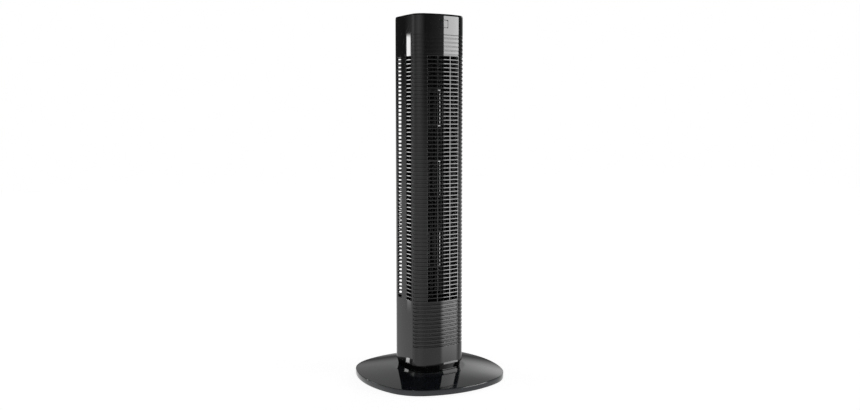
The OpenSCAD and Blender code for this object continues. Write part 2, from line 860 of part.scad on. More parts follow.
// Scroll: from the outlet's right edge round the back of the wheel to the rear wall
module scroll_wall() color([0.08, 0.08, 0.09]) {
    r = wheel_r + scroll_gap;
    end = [r * cos(scroll_end), wheel_y + r * sin(scroll_end)];
    rear_y = back_y - wall - fit_gap - 1;
    translate([0, 0, duct_z0]) linear_extrude(duct_z1 - duct_z0)
        duct_section(scroll_gap, -22, scroll_end);
    translate([end[0] - duct_t / 2, end[1], duct_z0])
        cube([duct_t, rear_y - end[1], duct_z1 - duct_z0]);
}

// Tongue: from the outlet's left edge to the wheel, and a flange to the side wall
module tongue_wall() color([0.08, 0.08, 0.09]) {
    r = wheel_r + tongue_gap;
    mirror([1, 0, 0]) translate([0, 0, duct_z0]) {
        linear_extrude(duct_z1 - duct_z0) duct_section(tongue_gap, -16, 4);
        translate([r + duct_t / 2, wheel_y - duct_t / 2, 0])
            cube([crease_x - wall - 1 - r - duct_t / 2, duct_t, duct_z1 - duct_z0]);
    }
}

// ---------- electrics ----------

module power_places() for (sx = [-1, 1], sy = [-1, 1])
    translate([sx * (power_w / 2 - 4), power_y + sy * (power_d / 2 - 4), 0]) children();

module power_board() color([0.1, 0.35, 0.15]) {
    translate([-power_w / 2, power_y - power_d / 2, power_z]) cube([power_w, power_d, board_t]);
    translate([-30, -28, power_z + board_t]) cube([16, 14, 10]);
    translate([8, -26, power_z + board_t]) cube([20, 12, 8]);
}

module capacitor() color([0.2, 0.2, 0.22])
    translate([-8, -12, power_z + board_t]) cube([24, 10, 15]);

module loom_place() translate([loom_x, loom_y, 0]) children();

module wiring_loom() color([0.2, 0.2, 0.2]) loom_place()
    translate([0, 0, loom_z0]) cylinder(h = loom_z1 - loom_z0, r = loom_r);

// ---------- swing drive ----------

module swing_can_place() translate([0, gear_centre - swing_offset, 0]) children();

module swing_ears() swing_can_place() for (s = [-1, 1])
    translate([s * swing_ear, 0, 0]) children();

module swing_motor() color([0.72, 0.73, 0.75]) {
    z = neck_floor_z + neck_floor_t;
    difference() {
        union() {
            swing_can_place() tube(swing_can_r, 0, z, z + swing_can_h);
            swing_ears() tube(3.6, 0, z, z + 1.2);
            swing_can_place() translate([-swing_ear, -3.6, z]) cube([2 * swing_ear, 7.2, 1.2]);
        }
        swing_ears() translate([0, 0, z - 1]) cylinder(h = 4, r = screw_r);
        translate([0, gear_centre, z - 1]) cylinder(h = 10, r = swing_shaft_r + bush_play);
    }
}

module swing_screws() color([0.6, 0.6, 0.62]) {
    z = neck_floor_z + neck_floor_t + 1.2;
    swing_ears() {
        translate([0, 0, z]) cylinder(h = head_h, r = head_r - 0.2);
        translate([0, 0, z - neck_floor_t - 1.2]) cylinder(h = neck_floor_t + 2, r = screw_r);
    }
}

module swing_shaft() color([0.75, 0.75, 0.77]) translate([0, gear_centre, 0])
    tube(swing_shaft_r, 0, gear_z0 + 0.9, neck_floor_z + neck_floor_t + 7);

module swing_pinion() color([0.88, 0.88, 0.85])
    translate([0, gear_centre, gear_z0 + 0.9]) difference() {
        rotate(-90) gear(pinion_teeth, gear_h - 0.4);
        translate([0, 0, -1]) cylinder(h = gear_h + 2, r = swing_shaft_r);
    }

module shell_screws() color([0.6, 0.6, 0.62]) shell_screw_places()
    screw(neck_floor_z - head_h, 14);

// ---------- parts ----------

base_cover();
base_tray();
foot_pads();
base_screws();
cord_grommet();
ring_gear();
thrust_washer();
neck_skirt();
pivot_retainer();
retainer_screws();
rear_shell();
front_grille();
top_cap();
display_window();
display_board();
control_board();
key_switches();
motor_bracket();
motor_isolators();
motor_screws();
motor_can_upper();
motor_can_lower();
motor_stator();
motor_rotor();
motor_shaft();
drive_hub();
wheel_segment_1();
wheel_segment_2();
wheel_segment_3();
wheel_segment_4();
wheel_segment_5();
wheel_segment_6();
wheel_segment_7();
end_pin();
bearing_bush();
bearing_rubber();
bearing_bracket();
scroll_wall();
tongue_wall();
power_board();
capacitor();
wiring_loom();
swing_motor();
swing_screws();
swing_shaft();
swing_pinion();
shell_screws();
power_key();
speed_key();
mode_key();
timer_key();
swing_key();
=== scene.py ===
import json
import math

import bmesh
import bpy
import numpy as np
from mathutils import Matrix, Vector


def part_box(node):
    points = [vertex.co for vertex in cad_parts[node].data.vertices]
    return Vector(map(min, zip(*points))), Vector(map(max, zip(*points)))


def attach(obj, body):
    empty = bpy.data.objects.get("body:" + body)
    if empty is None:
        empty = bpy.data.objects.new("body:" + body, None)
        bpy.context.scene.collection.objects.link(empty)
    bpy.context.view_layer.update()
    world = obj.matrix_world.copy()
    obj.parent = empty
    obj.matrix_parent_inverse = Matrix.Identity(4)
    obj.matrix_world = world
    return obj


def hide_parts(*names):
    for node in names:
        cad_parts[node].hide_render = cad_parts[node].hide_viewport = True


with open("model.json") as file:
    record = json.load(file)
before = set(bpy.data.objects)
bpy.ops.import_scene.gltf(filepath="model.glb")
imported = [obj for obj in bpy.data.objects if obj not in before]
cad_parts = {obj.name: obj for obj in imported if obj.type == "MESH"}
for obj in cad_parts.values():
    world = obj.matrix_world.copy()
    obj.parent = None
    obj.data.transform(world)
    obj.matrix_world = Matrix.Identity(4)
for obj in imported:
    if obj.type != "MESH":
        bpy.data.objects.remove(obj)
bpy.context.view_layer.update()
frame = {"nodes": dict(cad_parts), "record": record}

MM = 0.001
scene = bpy.context.scene

# ---------------------------------------------------------------- camera
camera = bpy.data.objects.new("camera", bpy.data.cameras.new("camera"))
LEVEL, TILT_DOWN, HEADING = 90.0, 5.43, -30.58
camera.data.lens = 36.9
camera.data.sensor_width = 36.0
camera.data.clip_start = 0.05
camera.data.clip_end = 50.0
camera.location = (-0.9958, -1.6896, 0.5727)
camera.rotation_euler = (math.radians(LEVEL - TILT_DOWN), 0.0, math.radians(HEADING))
scene.collection.objects.link(camera)
scene.camera = camera

# ---------------------------------------------------------------- column section, in millimetres
FRONT_R, FRONT_HALF, APEX_Y = 158.0, 42.0, -64.0
CORNER_R, CREASE_TURN = 28.2, math.radians(79.9)
SIDE_R, SIDE_HALF = 600.0, 63.3
BACK_R, BACK_Y, REAR_R = 600.0, 64.0, 32.0
WALL, SEAM = 2.4, 0.3
BOW_TURN = math.asin(FRONT_HALF / FRONT_R)
BOW_CY = APEX_Y + FRONT_R
CORNER_CX = (FRONT_R - CORNER_R) * math.sin(BOW_TURN)
CORNER_CY = BOW_CY - (FRONT_R - CORNER_R) * math.cos(BOW_TURN)
CREASE_X = CORNER_CX + CORNER_R * math.sin(CREASE_TURN)
CREASE_Y = CORNER_CY - CORNER_R * math.cos(CREASE_TURN)
SIDE_MID_Y = CREASE_Y + math.sqrt(SIDE_R ** 2 - (SIDE_R - SIDE_HALF + CREASE_X) ** 2)
SIDE_CX = SIDE_HALF - SIDE_R
BACK_CY = BACK_Y - BACK_R

# Air slots and ribs
PITCH, SLOT_H, SLOT_ROWS = 8.6, 5.6, 62
FIRST_SLOT_Z = 708.3
LAST_SLOT_Z = FIRST_SLOT_Z - (SLOT_ROWS - 1) * PITCH
SLOT_HALF, BAR_X, BAR_W = 38.0, 15.8, 2.0
WINDOW_LOW, WINDOW_HIGH = (corner * 1000 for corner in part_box("display_window"))
WINDOW_GAP = 0.65
WINDOW_HALF = WINDOW_HIGH.x + WINDOW_GAP
WINDOW_SPAN = (WINDOW_LOW.z - WINDOW_GAP, WINDOW_HIGH.z + WINDOW_GAP)
EDGE_ROUND, SIDE_EDGE = 1.0, 0.35
TOP_ROUND, TOP_DROP = 5.0, 1.5
GRILLE_LOW, GRILLE_HIGH = (corner * 1000 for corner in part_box("front_grille"))
COLUMN_Z0, COLUMN_Z1 = GRILLE_LOW.z, GRILLE_HIGH.z
SIDE_SLOTS_FROM, SIDE_SLOTS_GAP = 5.0, (-9.0, 13.0)
BACK_SLOTS_REACH, BACK_BAR_HALF = 0.55, 1.5

# Offsets from a rounded edge at which the mesh has rows or columns
LIP = (0.0, 0.12, 0.3, 0.6)
FIRST_OFF, HALF_OFF = 0.15, 0.5
LOW_SHARES = (0.1, 0.3, 0.6, 1.0)
TOP_SHARES = (0.02, 0.06, 0.12, 0.2, 0.32, 0.46, 0.7, 1.0)

# Grooves: half height, depth and width of the slope at each lip
BESIDE_GROOVE = (1.8, 1.2, 0.5)
UPPER_GROOVE = (1.1, 0.8, 0.35)
TOP_GROOVE = (0.5, 0.8, 0.35)
LOWER_GROOVE = (1.5, 1.3, 0.9)
UPPER_GROOVES, LOWER_GROOVES = 5, 12
UPPER_LEAD, UPPER_LIFT = 0.65, 0.7
TOP_LEAD, TOP_LIFT = 5.5, 0.5
MARGIN_RAMP = 0.6

# Band between the column and the base
NECK_H, NECK_INSET, NECK_TAPER, NECK_GAP = 12.8, 1.5, 2.7, 0.2


def rear_corner_centre():
    """Centre of the rear corner's arc: where circles inside the side and the back arcs cross."""
    p, q = np.array([SIDE_CX, SIDE_MID_Y]), np.array([0.0, BACK_CY])
    rp, rq = SIDE_R - REAR_R, BACK_R - REAR_R
    d = np.linalg.norm(q - p)
    a = (rp ** 2 - rq ** 2 + d ** 2) / (2 * d)
    u = (q - p) / d
    side = math.sqrt(rp ** 2 - a ** 2) * np.array([-u[1], u[0]])
    return max(p + a * u + side, p + a * u - side, key=lambda c: c[0] + c[1])


REAR_C = rear_corner_centre()
SIDE_TURN = math.atan2(REAR_C[1] - SIDE_MID_Y, REAR_C[0] - SIDE_CX)
BACK_TURN = math.atan2(REAR_C[1] - BACK_CY, REAR_C[0])


def arc(cx, cy, r, turns):
    """Arc's points and outward normals: centre plus radius times the unit vector of each turn."""
    u = np.stack([np.cos(turns), np.sin(turns)], 1)
    return np.array([cx, cy]) + r * u, u


def spread(stops, step):
    """Ascending values through all the stops, with gaps no wider than the step."""
    parts = [np.linspace(a, b, max(2, math.ceil((b - a) / step) + 1))[:-1]
             for a, b in zip(stops[:-1], stops[1:])]
    return np.append(np.concatenate(parts), stops[-1])


def front_path():
    """Front outline from the left crease to the right one, with columns at the bars' edges."""
    half = math.pi / 2
    fine = [SLOT_HALF + off
            for off in (0.0, FIRST_OFF, SIDE_EDGE, EDGE_ROUND, EDGE_ROUND + MARGIN_RAMP)]
    bars = [BAR_X + s * (BAR_W / 2 - off) for s in (-1, 1) for off in (0.0, FIRST_OFF, SIDE_EDGE)]
    bars.append(WINDOW_HALF)
    xs = np.array(sorted([-x for x in fine + bars] + fine + bars + [-FRONT_HALF, FRONT_HALF]))
    bow = spread(np.arcsin(xs / FRONT_R), math.radians(1.7))
    lip = np.array([*LIP, EDGE_ROUND]) / CORNER_R
    right = np.append(np.linspace(BOW_TURN, CREASE_TURN - 1.4 / CORNER_R, 13)[1:],
                      CREASE_TURN - lip[::-1])
    left = -right[::-1]
    pieces = [arc(-CORNER_CX, CORNER_CY, CORNER_R, left - half),
              arc(0, BOW_CY, FRONT_R, bow - half),
              arc(CORNER_CX, CORNER_CY, CORNER_R, right - half)]
    return [np.concatenate(part) for part in zip(*pieces)]


def rear_path():
    """Side, rear corner, back, rear corner and side, from the right crease to the left one."""
    front_turn = math.asin((CREASE_Y + SEAM - SIDE_MID_Y) / SIDE_R)
    side_ys = [y for lo, hi in side_zones() for y in (lo - SIDE_EDGE, lo, hi, hi + SIDE_EDGE)]
    lip = [front_turn + off / SIDE_R for off in (*LIP, EDGE_ROUND)]
    side_stops = [*lip, *[math.asin((y - SIDE_MID_Y) / SIDE_R) for y in side_ys], SIDE_TURN]
    side = spread(side_stops, math.radians(0.8))
    back_xs = [x for lo, hi in back_zones() for x in (lo - SIDE_EDGE, lo, hi, hi + SIDE_EDGE)]
    inner = [x for x in back_xs if abs(x) < REAR_C[0]]
    back = spread(sorted([BACK_TURN, *[math.acos(x / BACK_R) for x in inner],
                          math.pi - BACK_TURN]), math.radians(0.9))
    reach = back_zones()[2][1] - REAR_C[0]
    round_stops = sorted([SIDE_TURN, BACK_TURN, math.acos(reach / REAR_R),
                          math.acos((reach + SIDE_EDGE) / REAR_R)])
    rounded = spread(round_stops, math.radians(7))
    pieces = [arc(SIDE_CX, SIDE_MID_Y, SIDE_R, side),
              arc(REAR_C[0], REAR_C[1], REAR_R, rounded[1:-1]),
              arc(0, BACK_CY, BACK_R, back),
              arc(-REAR_C[0], REAR_C[1], REAR_R, math.pi - rounded[1:-1][::-1]),
              arc(-SIDE_CX, SIDE_MID_Y, SIDE_R, math.pi - side[::-1])]
    return [np.concatenate(part) for part in zip(*pieces)]


def side_zones():
    """Spans in y of the two slot columns of each side."""
    gap_from, gap_to = SIDE_SLOTS_GAP
    return [(CREASE_Y + SIDE_SLOTS_FROM, gap_from), (gap_to, BACK_Y - REAR_R)]


def back_zones():
    """Spans in x of the three slot columns of the back."""
    third = (REAR_C[0] + REAR_R * BACK_SLOTS_REACH) / 3
    return [(k * third - third + BACK_BAR_HALF, k * third + third - BACK_BAR_HALF)
            for k in (-2, 0, 2)]


# ---------------------------------------------------------------- mesh helpers

def make_mesh(name, points, faces, corner_normals=None, sharp=40):
    """Mesh object from arrays. Corner normals are set where given, else edges split by angle."""
    used, renumbered = np.unique(faces, return_inverse=True)
    mesh = bpy.data.meshes.new(name)
    mesh.from_pydata((points[used] * MM).tolist(), [], renumbered.reshape(faces.shape).tolist())
    mesh.polygons.foreach_set("use_smooth", np.ones(len(faces), bool))
    if corner_normals is None:
        mesh.set_sharp_from_angle(angle=math.radians(sharp))
    else:
        mesh.normals_split_custom_set(corner_normals.reshape(-1, 3).tolist())
    mesh.update()
    piece = bpy.data.objects.new(name, mesh)
    scene.collection.objects.link(piece)
    return piece


def unit(v):
    """Vectors scaled to length one."""
    return v / np.maximum(np.linalg.norm(v, axis=-1, keepdims=True), 1e-12)


def openings_relief(along, z, zones, spans):
    """Rounding beside rectangular openings.

    Distance d to the nearest opening gives depth r - sqrt(r^2 - (r - d)^2) and a lean of
    sine (r - d) / r towards it. Returns depth, lean along the path and lean upwards.
    """
    def away(values, ranges):
        low, high = np.array(ranges).T
        gap = np.maximum(low - values[:, None], values[:, None] - high)
        best = gap.argmin(1)
        rows = np.arange(len(values))
        toward = np.where(values < low[best], 1.0, np.where(values > high[best], -1.0, 0.0))
        toward = np.where(values <= low[best] + 1e-6, 1.0,
                          np.where(values >= high[best] - 1e-6, -1.0, toward))
        return np.maximum(gap[rows, best], 0), toward
    dz, up = away(z, spans)
    ds, side = away(along, zones)
    dz, ds = np.broadcast_arrays(dz[:, None], ds[None, :] * EDGE_ROUND / SIDE_EDGE)
    d = np.hypot(dz, ds)
    r = EDGE_ROUND
    lean = np.clip((r - d) / r, 0, 1)
    depth = r - np.sqrt(np.maximum(r ** 2 - (lean * r) ** 2, 0))
    both = np.maximum(d, 1e-9)
    flat_z, flat_s = dz <= 1e-6, ds <= 1e-6
    part_z = np.where(d < 1e-6, 1.0, dz / both)
    part_s = np.where(d < 1e-6, 0.0, ds / both)
    edge_side = (d < 1e-6) & ~np.isin(np.broadcast_to(z[:, None], d.shape),
                                      np.array(spans).ravel()) & flat_z & flat_s
    part_z, part_s = np.where(edge_side, 0.0, part_z), np.where(edge_side, 1.0, part_s)
    return depth, lean * part_s * side[None, :], lean * part_z * up[:, None]


def walled_shell(name, path, normal, z, depth, lean_s, lean_z, is_open, wall, loop=False):
    """Closed wall that follows an outline.

    Outer point: path point less depth times normal, at each height. Inner point: path point
    less the wall times normal. Every closed cell gets an outer and an inner face, and every
    edge between a closed cell and an opening gets a face across the wall.
    """
    m, n = len(z), len(path)
    height = np.broadcast_to(z[:, None, None], (m, n, 1))
    outer = np.concatenate([path[None] - depth[..., None] * normal[None], height], -1)
    inner = np.concatenate([np.broadcast_to(path - wall * normal, (m, n, 2)), height], -1)
    points = np.concatenate([outer.reshape(-1, 3), inner.reshape(-1, 3)])
    n3 = np.concatenate([normal, np.zeros((n, 1))], 1)
    t3 = np.stack([-normal[:, 1], normal[:, 0], np.zeros(n)], 1)
    up3 = np.array([0.0, 0.0, 1.0])
    straight = np.sqrt(np.clip(1 - lean_s ** 2 - lean_z ** 2, 0, 1))
    shade = unit(straight[..., None] * n3 + lean_s[..., None] * t3 + lean_z[..., None] * up3)
    shade = shade.reshape(-1, 3)
    inward = np.broadcast_to(-n3, (m, n, 3)).reshape(-1, 3)
    shade_all = np.concatenate([shade, inward])
    count = m * n
    closed = ~is_open
    i, j = np.nonzero(closed)
    j2 = (j + 1) % n
    skin = np.stack([i * n + j, i * n + j2, (i + 1) * n + j2, (i + 1) * n + j], 1)
    faces = [skin, skin[:, ::-1] + count]
    normals = [shade_all[faces[0]], shade_all[faces[1]]]
    padded = np.pad(closed, ((1, 1), (0, 0)))
    for sign in (1, -1):
        edge = (padded[:-1] & ~padded[1:]) if sign > 0 else (padded[1:] & ~padded[:-1])
        i, j = np.nonzero(edge)
        a, b = i * n + j, i * n + (j + 1) % n
        quad = np.stack([a, b, b + count, a + count], 1)[:, ::sign]
        faces.append(quad)
        normals.append(np.broadcast_to(sign * up3, (len(quad), 4, 3)))
    if loop:
        padded = np.concatenate([closed[:, -1:], closed, closed[:, :1]], 1)
    else:
        padded = np.pad(closed, ((0, 0), (1, 1)))
    for sign in (1, -1):
        edge = (padded[:, :-1] & ~padded[:, 1:]) if sign > 0 else (padded[:, 1:] & ~padded[:, :-1])
        i, j = np.nonzero(edge[:, :n])
        a, b = i * n + j, (i + 1) * n + j
        quad = np.stack([a, a + count, b + count, b], 1)[:, ::sign]
        faces.append(quad)
        normals.append(np.broadcast_to((sign * t3[j])[:, None], (len(quad), 4, 3)))
    return make_mesh(name, points, np.concatenate(faces), np.concatenate(normals))


def groove_profile(z, centre, half, deep, slope):
    """Groove's depth and lean at heights z: smooth steps of the slope's width at both lips."""
    t = np.clip((half + slope - np.abs(z - centre)) / (2 * slope), 0, 1)
    rise = deep * 6 * t * (1 - t) / (2 * slope) * -np.sign(z - centre)
    return deep * t * t * (3 - 2 * t), rise / np.sqrt(1 + rise ** 2)


def groove_rows(centre, half, deep, slope):
    """Heights at which a groove needs a row."""
    return [centre + s * (half + k * slope) for s in (-1, 1) for k in (-1, -0.4, 0, 0.4, 1)]


def row_grid(values, top, bottom):
    """Rows in order, with near-equal ones merged, between the two ends."""
    rows = np.array(sorted(set(np.round(values, 3))))
    rows = rows[(rows > bottom) & (rows < top)]
    keep = np.concatenate([[True], np.diff(rows) > 0.04])
    return np.concatenate([[bottom], rows[keep], [top]])


SLOT_SPANS = [(FIRST_SLOT_Z - k * PITCH - SLOT_H / 2, FIRST_SLOT_Z - k * PITCH + SLOT_H / 2)
              for k in range(SLOT_ROWS)]
SLOT_EDGE_ROWS = [edge + s * off for lo, hi in SLOT_SPANS for edge, s in ((lo, -1), (hi, 1))
                  for off in (0.0, FIRST_OFF, HALF_OFF, EDGE_ROUND)]


def cells_open(along, z, zones, spans):
    """Which cells of the grid lie inside an opening."""
    mid_s, mid_z = (along[:-1] + along[1:]) / 2, (z[:-1] + z[1:]) / 2
    in_zone = np.any([(mid_s > lo) & (mid_s < hi) for lo, hi in zones], axis=0)
    in_span = np.any([(mid_z > lo) & (mid_z < hi) for lo, hi in spans], axis=0)
    return in_span[:, None] & in_zone[None, :]


def end_rows():
    """Heights of the rows that round the column's lower and upper ends."""
    low = [COLUMN_Z0 + share * EDGE_ROUND for share in LOW_SHARES]
    return low + [COLUMN_Z1 - share * TOP_ROUND for share in TOP_SHARES]


def end_round(z, depth, lean_z):
    """Rounds a wall's lower end as a quarter circle and its upper end as a quarter ellipse.

    With u the share of the rounded height, the drop is d (1 - sqrt(1 - u^2)), and the slope
    is d / h times u / sqrt(1 - u^2).
    """
    ends = ((z[0], -1.0, EDGE_ROUND, EDGE_ROUND), (z[-1], 1.0, TOP_ROUND, TOP_DROP))
    for end, up, high, deep in ends:
        u = np.clip((high - np.abs(z - end)) / high, 0, 0.999)[:, None]
        root = np.sqrt(1 - u ** 2)
        slope = deep / high * u / root
        depth = np.maximum(depth, deep * (1 - root))
        lean_z = np.where(u > 0, up * slope / np.sqrt(1 + slope ** 2), lean_z)
    return depth, lean_z


def side_round(path, normal, depth, lean_s, lean_z):
    """Rounds the first and last columns of a wall as a quarter circle of the edge radius."""
    r = EDGE_ROUND
    for end, way in ((0, -1.0), (-1, 1.0)):
        lean = np.clip((r - np.linalg.norm(path - path[end], axis=1)) / r, 0, 1)[None, :]
        drop = r - np.sqrt(np.maximum(r ** 2 - (lean * r) ** 2, 0))
        depth = np.maximum(depth, drop)
        lean_s = np.where(lean > 0, way * lean, lean_s)
        lean_z = np.where(lean > 0, 0.0, lean_z)
    return depth, lean_s, lean_z


def front_panel():
    """Front moulding: a bowed wall with three slot columns, ribs beside, above and below."""
    path, normal = front_path()
    xs = path[:, 0]
    zones = [(-SLOT_HALF, -BAR_X - BAR_W / 2), (-BAR_X + BAR_W / 2, BAR_X - BAR_W / 2),
             (BAR_X + BAR_W / 2, SLOT_HALF)]
    beside = [(FIRST_SLOT_Z - k * PITCH, *BESIDE_GROOVE) for k in range(SLOT_ROWS)]
    across = [(FIRST_SLOT_Z + (k + UPPER_LEAD) * PITCH + UPPER_LIFT, *UPPER_GROOVE)
              for k in range(UPPER_GROOVES)]
    across += [(FIRST_SLOT_Z + TOP_LEAD * PITCH + TOP_LIFT, *TOP_GROOVE)]
    across += [(LAST_SLOT_Z - k * PITCH, *LOWER_GROOVE) for k in range(1, LOWER_GROOVES + 1)]
    rows = list(SLOT_EDGE_ROWS)
    rows += [z for groove in beside + across for z in groove_rows(*groove)]
    z = row_grid(rows + end_rows() + list(WINDOW_SPAN), COLUMN_Z1, COLUMN_Z0)
    depth, lean_s, lean_z = openings_relief(xs, z, zones, SLOT_SPANS)
    margin = np.clip((np.abs(xs) - SLOT_HALF - EDGE_ROUND) / MARGIN_RAMP, 0, 1)[None, :]
    for grooves, share in ((beside, margin), (across, np.ones((1, len(xs))))):
        for groove in grooves:
            cut, lean = groove_profile(z, *groove)
            depth = np.maximum(depth, cut[:, None] * share)
            lean_z = np.where((cut > 0)[:, None] & (share > 0), lean[:, None] * share, lean_z)
    depth, lean_z = end_round(z, depth, lean_z)
    depth, lean_s, lean_z = side_round(path, normal, depth, lean_s, lean_z)
    is_open = cells_open(xs, z, zones, SLOT_SPANS)
    is_open |= cells_open(xs, z, [(-WINDOW_HALF, WINDOW_HALF)], [WINDOW_SPAN])
    return walled_shell("front_panel", path, normal, z, depth, lean_s, lean_z, is_open, WALL)


def rear_housing():
    """Rear moulding: sides and back in one wall, slotted in the same rows as the front.

    The reach along the path is -x at the back. At the sides it is y, moved far off one way
    or the other, so that the slot columns of sides and back never mix.
    """
    far = 1000.0
    path, normal = rear_path()
    turn = np.unwrap(np.arctan2(normal[:, 1], normal[:, 0]))
    on_side = (path[:, 1] < REAR_C[1] - 0.5) | (np.abs(np.cos(turn)) > 0.995)
    reach = np.where(on_side & (path[:, 0] > 0), path[:, 1] - far, 0.0)
    reach = np.where(on_side & (path[:, 0] < 0), far - path[:, 1], reach)
    reach = np.where(~on_side, -path[:, 0], reach)
    zones = [(lo - far, hi - far) for lo, hi in side_zones()]
    zones += [(-hi, -lo) for lo, hi in back_zones()[::-1]]
    zones += [(far - hi, far - lo) for lo, hi in side_zones()[::-1]]
    z = row_grid(SLOT_EDGE_ROWS + end_rows(), COLUMN_Z1, COLUMN_Z0)
    depth, lean_s, lean_z = openings_relief(reach, z, zones, SLOT_SPANS)
    depth, lean_z = end_round(z, depth, lean_z)
    depth, lean_s, lean_z = side_round(path, normal, depth, lean_s, lean_z)
    is_open = cells_open(reach, z, zones, SLOT_SPANS)
    return walled_shell("rear_housing", path, normal, z, depth, lean_s, lean_z, is_open, WALL)


def neck_band():
    """Band under the column: the whole section set in, closed on itself, narrower below."""
    z0 = COLUMN_Z0 - NECK_H
    path, normal = (np.concatenate(both) for both in zip(front_path(), rear_path()))
    path = path - NECK_INSET * normal
    z = np.linspace(z0, COLUMN_Z0 - NECK_GAP, 5)
    flat = np.zeros((len(z), len(path)))
    depth = flat + (NECK_TAPER * (1 - (z - z0) / (z[-1] - z0)))[:, None]
    lean_z = flat - NECK_TAPER / math.hypot(NECK_TAPER, z[-1] - z0)
    is_open = np.zeros((len(z) - 1, len(path)), bool)
    return walled_shell("neck_band", path, normal, z, depth, flat, lean_z, is_open, WALL,
                        loop=True)


# ---------------------------------------------------------------- base
BASE_LOW, BASE_HIGH = (corner * 1000 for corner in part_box("base_cover"))
BASE_HALF_W, BASE_HALF_D = BASE_HIGH.x, BASE_HIGH.y
BASE_SIDE_R, BASE_CORNER_R = 232.0, 100.0
PLATEAU_R, PLATEAU_Z, RIM_Z, BASE_WALL, RIM_ROUND = 80.0, 23.0, 12.6, 2.6, 1.0
FOOT_DROP, FOOT_SOFT, FOOT_EDGE = 1.7, 0.2, 0.6
HUB_R, HUB_BORE_R, HUB_FOOT, HUB_SOFT, HUB_STEP = 28.0, 22.05, 9.6, 0.3, 0.4
BORE_LEAD_R, HUB_LEAD_R = 22.4, 27.7


def base_reach(angles):
    """Distance from the axis to the base's outline: four bowed sides joined by round corners."""
    p = np.array([BASE_HALF_W - BASE_SIDE_R, 0.0])
    q = np.array([0.0, BASE_HALF_D - BASE_SIDE_R])
    r = BASE_SIDE_R - BASE_CORNER_R
    d = np.linalg.norm(q - p)
    u = (q - p) / d
    side = math.sqrt(r ** 2 - (d / 2) ** 2) * np.array([u[1], -u[0]])
    corner = max((p + q) / 2 + side, (p + q) / 2 - side, key=lambda c: c[0] + c[1])
    a1 = math.atan2(corner[1] - p[1], corner[0] - p[0])
    a2 = math.atan2(corner[1] - q[1], corner[0] - q[0])
    quarter = np.concatenate([
        arc(p[0], p[1], BASE_SIDE_R, np.linspace(0, a1, 40))[0],
        arc(corner[0], corner[1], BASE_CORNER_R, np.linspace(a1, a2, 60))[0],
        arc(q[0], q[1], BASE_SIDE_R, np.linspace(a2, math.pi / 2, 40))[0]])
    turn, reach = np.arctan2(quarter[:, 1], quarter[:, 0]), np.hypot(*quarter.T)
    folded = np.abs(np.mod(angles + math.pi / 2, math.pi) - math.pi / 2)
    return np.interp(folded, turn, reach)


def dome_height(s):
    """Height of the base's dome: an arc from the flat middle's edge down to the rim."""
    cz = (PLATEAU_R ** 2 + PLATEAU_Z ** 2 - BASE_HALF_W ** 2 - RIM_Z ** 2) \
        / (2 * (PLATEAU_Z - RIM_Z))
    r = math.hypot(PLATEAU_R, PLATEAU_Z - cz)
    return cz + np.sqrt(r ** 2 - s ** 2)


def ring_surface(name, profile, angles, reach=None):
    """Closed surface round the axis: the profile's distance s times the unit vector.

    Beyond the plateau, s runs in equal shares from the plateau's circle to the outline.
    """
    s, z = profile[:, 0:1], profile[:, 1:2]
    radius = np.broadcast_to(s, (len(profile), len(angles)))
    if reach is not None:
        share = np.clip((s - PLATEAU_R) / (BASE_HALF_W - PLATEAU_R), 0, None)
        radius = np.where(s > PLATEAU_R, PLATEAU_R + share * (reach[None] - PLATEAU_R), radius)
    points = np.stack([radius * np.cos(angles), radius * np.sin(angles),
                       np.broadcast_to(z, radius.shape)], -1).reshape(-1, 3)
    m, n = radius.shape
    i, j = (g.ravel() for g in np.meshgrid(np.arange(m), np.arange(n), indexing="ij"))
    i2, j2 = (i + 1) % m, (j + 1) % n
    faces = np.stack([i * n + j, i * n + j2, i2 * n + j2, i2 * n + j], 1)
    return make_mesh(name, points, faces)


def base_dome():
    """Base moulding: plateau, dome, soft rim, hollow underside and the pivot's hub."""
    s_rim = BASE_HALF_W - RIM_ROUND
    turn = np.linspace(0, math.radians(80), 7)
    rim = np.stack([s_rim + RIM_ROUND * np.cos(turn),
                    dome_height(s_rim) + RIM_ROUND * (np.sin(turn) - 1)], 1)
    s_out = np.linspace(s_rim - 1.0, PLATEAU_R, 26)
    dome = np.stack([s_out, dome_height(s_out)], 1)
    under = np.stack([s_out[::-1], dome_height(s_out[::-1]) - BASE_WALL], 1)
    foot, hub_top = BASE_LOW.z - FOOT_DROP, BASE_HIGH.z
    inner, ceiling = BASE_HALF_W - BASE_WALL, PLATEAU_Z - BASE_WALL
    parts = [
        [(inner, foot), (inner + 0.3, foot), (BASE_HALF_W - FOOT_EDGE, foot),
         (BASE_HALF_W - FOOT_SOFT, foot + FOOT_SOFT), (BASE_HALF_W, foot + FOOT_EDGE)],
        rim, dome,
        [(PLATEAU_R - 1, PLATEAU_Z), (PLATEAU_R - 6, PLATEAU_Z), (HUB_R + 1, PLATEAU_Z),
         (HUB_R, PLATEAU_Z), (HUB_R, PLATEAU_Z + HUB_STEP), (HUB_R, hub_top - HUB_SOFT),
         (HUB_LEAD_R, hub_top), (BORE_LEAD_R, hub_top), (HUB_BORE_R, hub_top - HUB_SOFT),
         (HUB_BORE_R, HUB_FOOT), (HUB_R, HUB_FOOT), (HUB_R, ceiling), (PLATEAU_R - 1, ceiling)],
        under,
        [(inner, dome_height(inner) - BASE_WALL)]]
    profile = np.concatenate([np.array(part, float) for part in parts])
    angles = np.linspace(0, 2 * math.pi, 240, endpoint=False)
    return ring_surface("base_dome", profile, angles, base_reach(angles))


# ---------------------------------------------------------------- small pieces

def merged(piece):
    """Joins points that meet at a pole."""
    reach = 1e-6
    bm = bmesh.new()
    bm.from_mesh(piece.data)
    bmesh.ops.remove_doubles(bm, verts=bm.verts, dist=reach)
    bm.to_mesh(piece.data)
    bm.free()
    piece.data.set_sharp_from_angle(angle=math.radians(40))
    return piece


